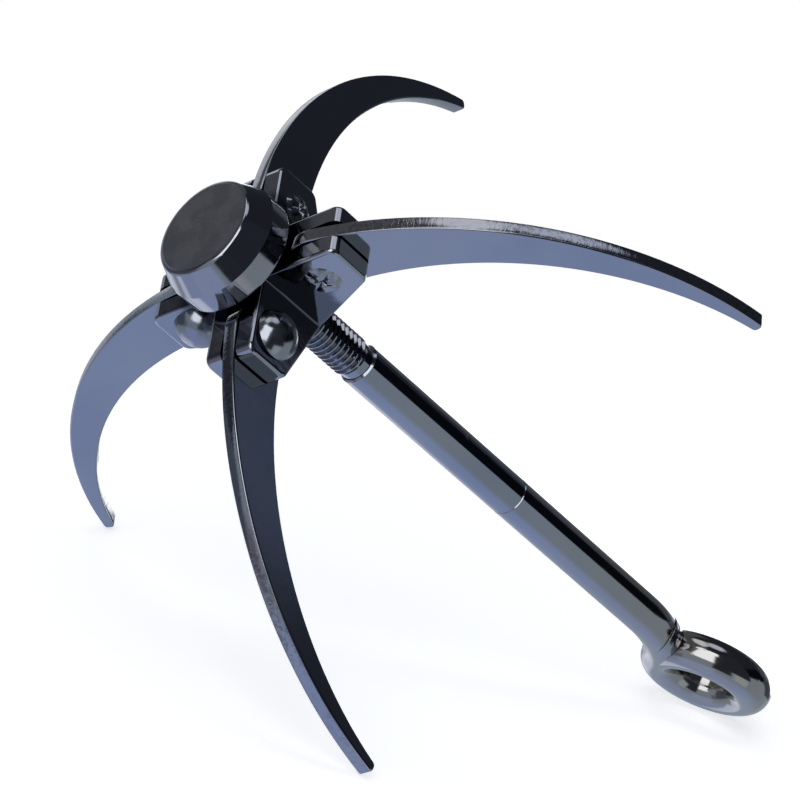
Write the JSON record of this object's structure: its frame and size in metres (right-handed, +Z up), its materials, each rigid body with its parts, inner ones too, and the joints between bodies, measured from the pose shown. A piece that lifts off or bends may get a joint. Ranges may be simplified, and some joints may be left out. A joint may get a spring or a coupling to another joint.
{
  "type": "folding grapnel anchor",
  "caption": "Folding grapnel anchor: a threaded shank with a rope eye, a turned knob, and a slotted head that holds hinged sickle-shaped claws.",
  "frame": {"origin": "bottom centre of the bounding box of the anchor as it lies, on the tips of claw_2 and claw_3 and on the rope eye", "axes": "+X runs from the knob towards the rope eye as seen from above, +Y is level and across the shank, towards claw_3 and claw_4, and +Z is up"},
  "size_m": [0.2026, 0.1342, 0.1259],
  "materials": {
    "shank_front": "black chrome plated, glossy",
    "shank_rear": "black chrome plated, glossy",
    "eye_weld": "rough weld under black plating",
    "knob": "black chrome plated, glossy",
    "hub": "black chrome plated, glossy",
    "claw_1": "black chrome plated, glossy",
    "claw_2": "black chrome plated, glossy",
    "claw_3": "black chrome plated, glossy",
    "claw_4": "black chrome plated, glossy",
    "rivet_1": "black plated, glossy dome and peened tail",
    "rivet_2": "black plated, glossy dome and peened tail",
    "rivet_3": "black plated, glossy dome and peened tail",
    "rivet_4": "black plated, glossy dome and peened tail"
  },
  "bodies": {
    "shank": {"shank_front": "shank_front", "shank_rear": "shank_rear", "eye_weld": "eye_weld", "knob": "knob"},
    "head": {"hub": "hub", "rivet_1": "rivet_1", "rivet_2": "rivet_2", "rivet_3": "rivet_3", "rivet_4": "rivet_4"},
    "claw_1": {"claw_1": "claw_1"},
    "claw_2": {"claw_2": "claw_2"},
    "claw_3": {"claw_3": "claw_3"},
    "claw_4": {"claw_4": "claw_4"}
  },
  "joints": [
    {"name": "head_travel", "type": "slide", "parent": "shank", "child": "head", "axis": [0.9151, 0, -0.4032], "range_m": [-0.001, 0.017]},
    {"name": "claw_1_fold", "type": "hinge", "parent": "head", "child": "claw_1", "pos_m": [-0.07251, -0.01202, 0.09485], "axis": [0.2851, 0.7071, 0.6471], "range_deg": [-6.7, 51.3]},
    {"name": "claw_2_fold", "type": "hinge", "parent": "head", "child": "claw_2", "pos_m": [-0.08221, -0.01202, 0.07285], "axis": [0.2851, -0.7071, 0.6471], "range_deg": [0, 58]},
    {"name": "claw_3_fold", "type": "hinge", "parent": "head", "child": "claw_3", "pos_m": [-0.08221, 0.01202, 0.07285], "axis": [-0.2851, -0.7071, -0.6471], "range_deg": [0, 58]},
    {"name": "claw_4_fold", "type": "hinge", "parent": "head", "child": "claw_4", "pos_m": [-0.07251, 0.01202, 0.09485], "axis": [-0.2851, 0.7071, -0.6471], "range_deg": [0, 58]}
  ]
}
